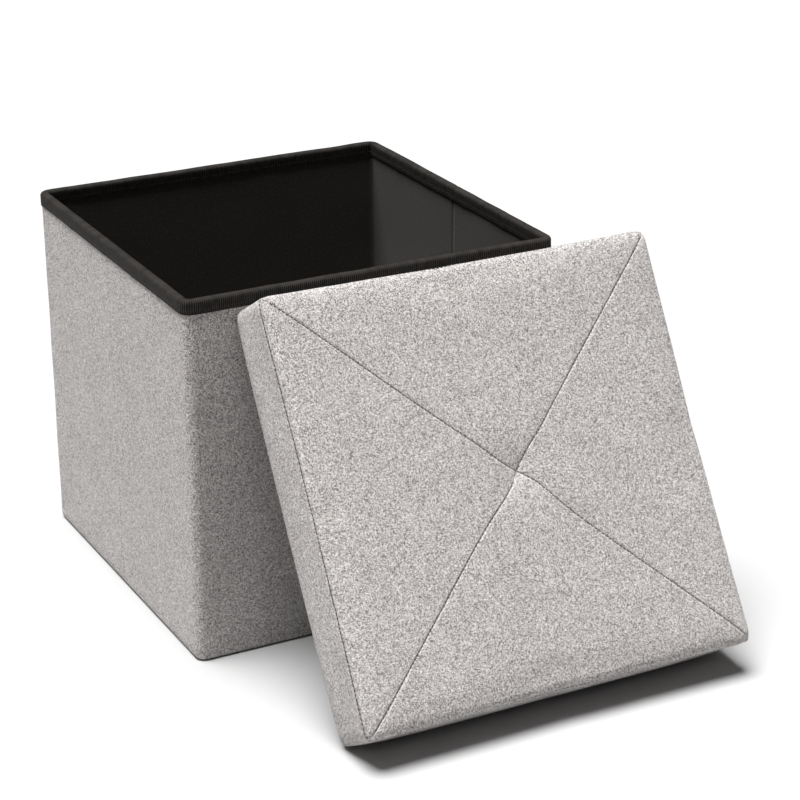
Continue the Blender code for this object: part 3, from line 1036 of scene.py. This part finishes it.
def makeBattens():
    # wooden strips wrapped in lining cloth: soft edges, cloth a little uneven along them
    toLid = lidPlace.inverted()
    for name in ("left", "right", "bottom", "top"):
        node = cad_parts["lid_batten_" + name]
        corners = [toLid @ vertex.co for vertex in node.data.vertices]
        low = Vector([min(c[i] for c in corners) for i in range(3)])
        high = Vector([max(c[i] for c in corners) for i in range(3)])
        mesh = bmesh.new()
        addBlock(mesh, (low + high) / 2, high - low)
        roundEdges(mesh, mesh.edges[:], battenSpec["rounding"], 3)
        longest = 0 if high.x - low.x > high.y - low.y else 1
        along = Vector((1, 0, 0)) if longest == 0 else Vector((0, 1, 0))
        for step in range(1, battenSpec["cuts"]):
            cutAcross(mesh, low.lerp(high, step / battenSpec["cuts"]), along)
        mesh.normal_update()
        for vertex in mesh.verts:
            uneven = noise.noise(vertex.co / battenSpec["waveSize"])
            vertex.co -= vertex.normal * battenSpec["waviness"] * (1 + uneven)
        mesh.normal_update()
        layCloth(mesh, acrossMap if longest == 0 else alongMap)
        mesh.transform(lidPlace)
        piece = finishPiece(mesh, "battenWrap" + name.capitalize(), [lining])
        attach(piece, "lid")
        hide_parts("lid_batten_" + name)


def makeTuftThread():
    # two plies wound round each other, from the washer up into the tuft
    toLid = lidPlace.inverted()
    points = [toLid @ vertex.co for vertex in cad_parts["tuft_cord"].data.vertices]
    low = min(p.z for p in points)
    high = min(max(p.z for p in points), cushionSpec["threadTop"])
    radius = max(p.x for p in points)
    mesh = bmesh.new()
    for side in (-1, 1):
        made = bmesh.ops.create_circle(mesh, segments=10, radius=radius / 2, cap_ends=False)
        verts = made["verts"]
        bmesh.ops.translate(mesh, vec=lidMiddle + Vector((side * radius / 2, 0, low)), verts=verts)
        ring = list({e for v in verts for e in v.link_edges})
        steps = 96
        turns = 6
        bmesh.ops.spin(mesh, geom=verts + ring, cent=lidMiddle, axis=(0, 0, 1),
                       dvec=(0, 0, (high - low) / steps), angle=2 * math.pi * turns, steps=steps,
                       use_duplicate=False)
    bmesh.ops.holes_fill(mesh, edges=[e for e in mesh.edges if len(e.link_faces) == 1], sides=0)
    bmesh.ops.recalc_face_normals(mesh, faces=mesh.faces[:])
    mesh.transform(lidPlace)
    piece = finishPiece(mesh, "tuftThread", [greyThreadAndSeamShade])
    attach(piece, "lid")
    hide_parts("tuft_cord")


makeCushion()
makeLidLining()
makeBattens()
makeTuftThread()
print("lid made")


for nodeName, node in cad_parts.items():
    if node.hide_render:
        continue
    node.data.materials.clear()
    node.data.materials.append(steel if nodeName == "tuft_washer" else board)
    print("kept from the frame:", nodeName)


studio = {
    "floorSize": 14.0,
    "floorDrop": 0.0004,       # below the object, so that the two faces don't meet
    "floorColour": "#b9b9b9",
    "sunFrom": (-0.165, 0.05, 0.98),
    "sunStrength": 6.6,
    "sunAngle": 34.0,
    "fill": 0.10,
    "azimuth": 27.1,
    "elevation": 22.1,
    "roll": -0.5,
    "target": (0.0, -0.2378, 0.247),
    "distance": 2.24,
    "lens": 109.8,
}


def makeStudio():
    spec = studio
    floorMesh = bmesh.new()
    bmesh.ops.create_grid(floorMesh, x_segments=2, y_segments=2, size=spec["floorSize"])
    bmesh.ops.translate(floorMesh, vec=(0, 0, -spec["floorDrop"]), verts=floorMesh.verts[:])
    material, _, shader = newMaterial("matPaintedFloor", 0.9, 0.1)
    shader.inputs["Base Color"].default_value = hexColour(spec["floorColour"])
    floor = finishPiece(floorMesh, "studioFloor", [material])

    sun = bpy.data.lights.new("softSun", "SUN")
    sun.energy = spec["sunStrength"]
    sun.angle = math.radians(spec["sunAngle"])
    sunObject = bpy.data.objects.new("softSun", sun)
    sunObject.rotation_euler = Vector(spec["sunFrom"]).to_track_quat("Z", "Y").to_euler()
    scene.collection.objects.link(sunObject)

    world = bpy.data.worlds.new("studioFill")
    world.use_nodes = True
    world.node_tree.nodes["Background"].inputs["Color"].default_value = (1.0, 1.0, 1.0, 1.0)
    world.node_tree.nodes["Background"].inputs["Strength"].default_value = spec["fill"]
    scene.world = world
    scene.view_settings.view_transform = "Standard"


def makeCamera():
    spec = studio
    azimuth = math.radians(spec["azimuth"])
    elevation = math.radians(spec["elevation"])
    back = Vector((-math.sin(azimuth) * math.cos(elevation), -math.cos(azimuth) * math.cos(elevation),
                   math.sin(elevation)))
    camera = bpy.data.cameras.new("camera")
    camera.lens = spec["lens"]
    camera.sensor_width = 36.0
    camera.clip_end = 50.0
    cameraObject = bpy.data.objects.new("camera", camera)
    looking = back.to_track_quat("Z", "Y").to_matrix()
    tilt = Matrix.Rotation(math.radians(spec["roll"]), 3, "Z")
    cameraObject.matrix_world = (Matrix.Translation(Vector(spec["target"]) + back * spec["distance"])
                                 @ (looking @ tilt).to_4x4())
    scene.collection.objects.link(cameraObject)
    scene.camera = cameraObject


makeStudio()
makeCamera()
print("studio and camera set")
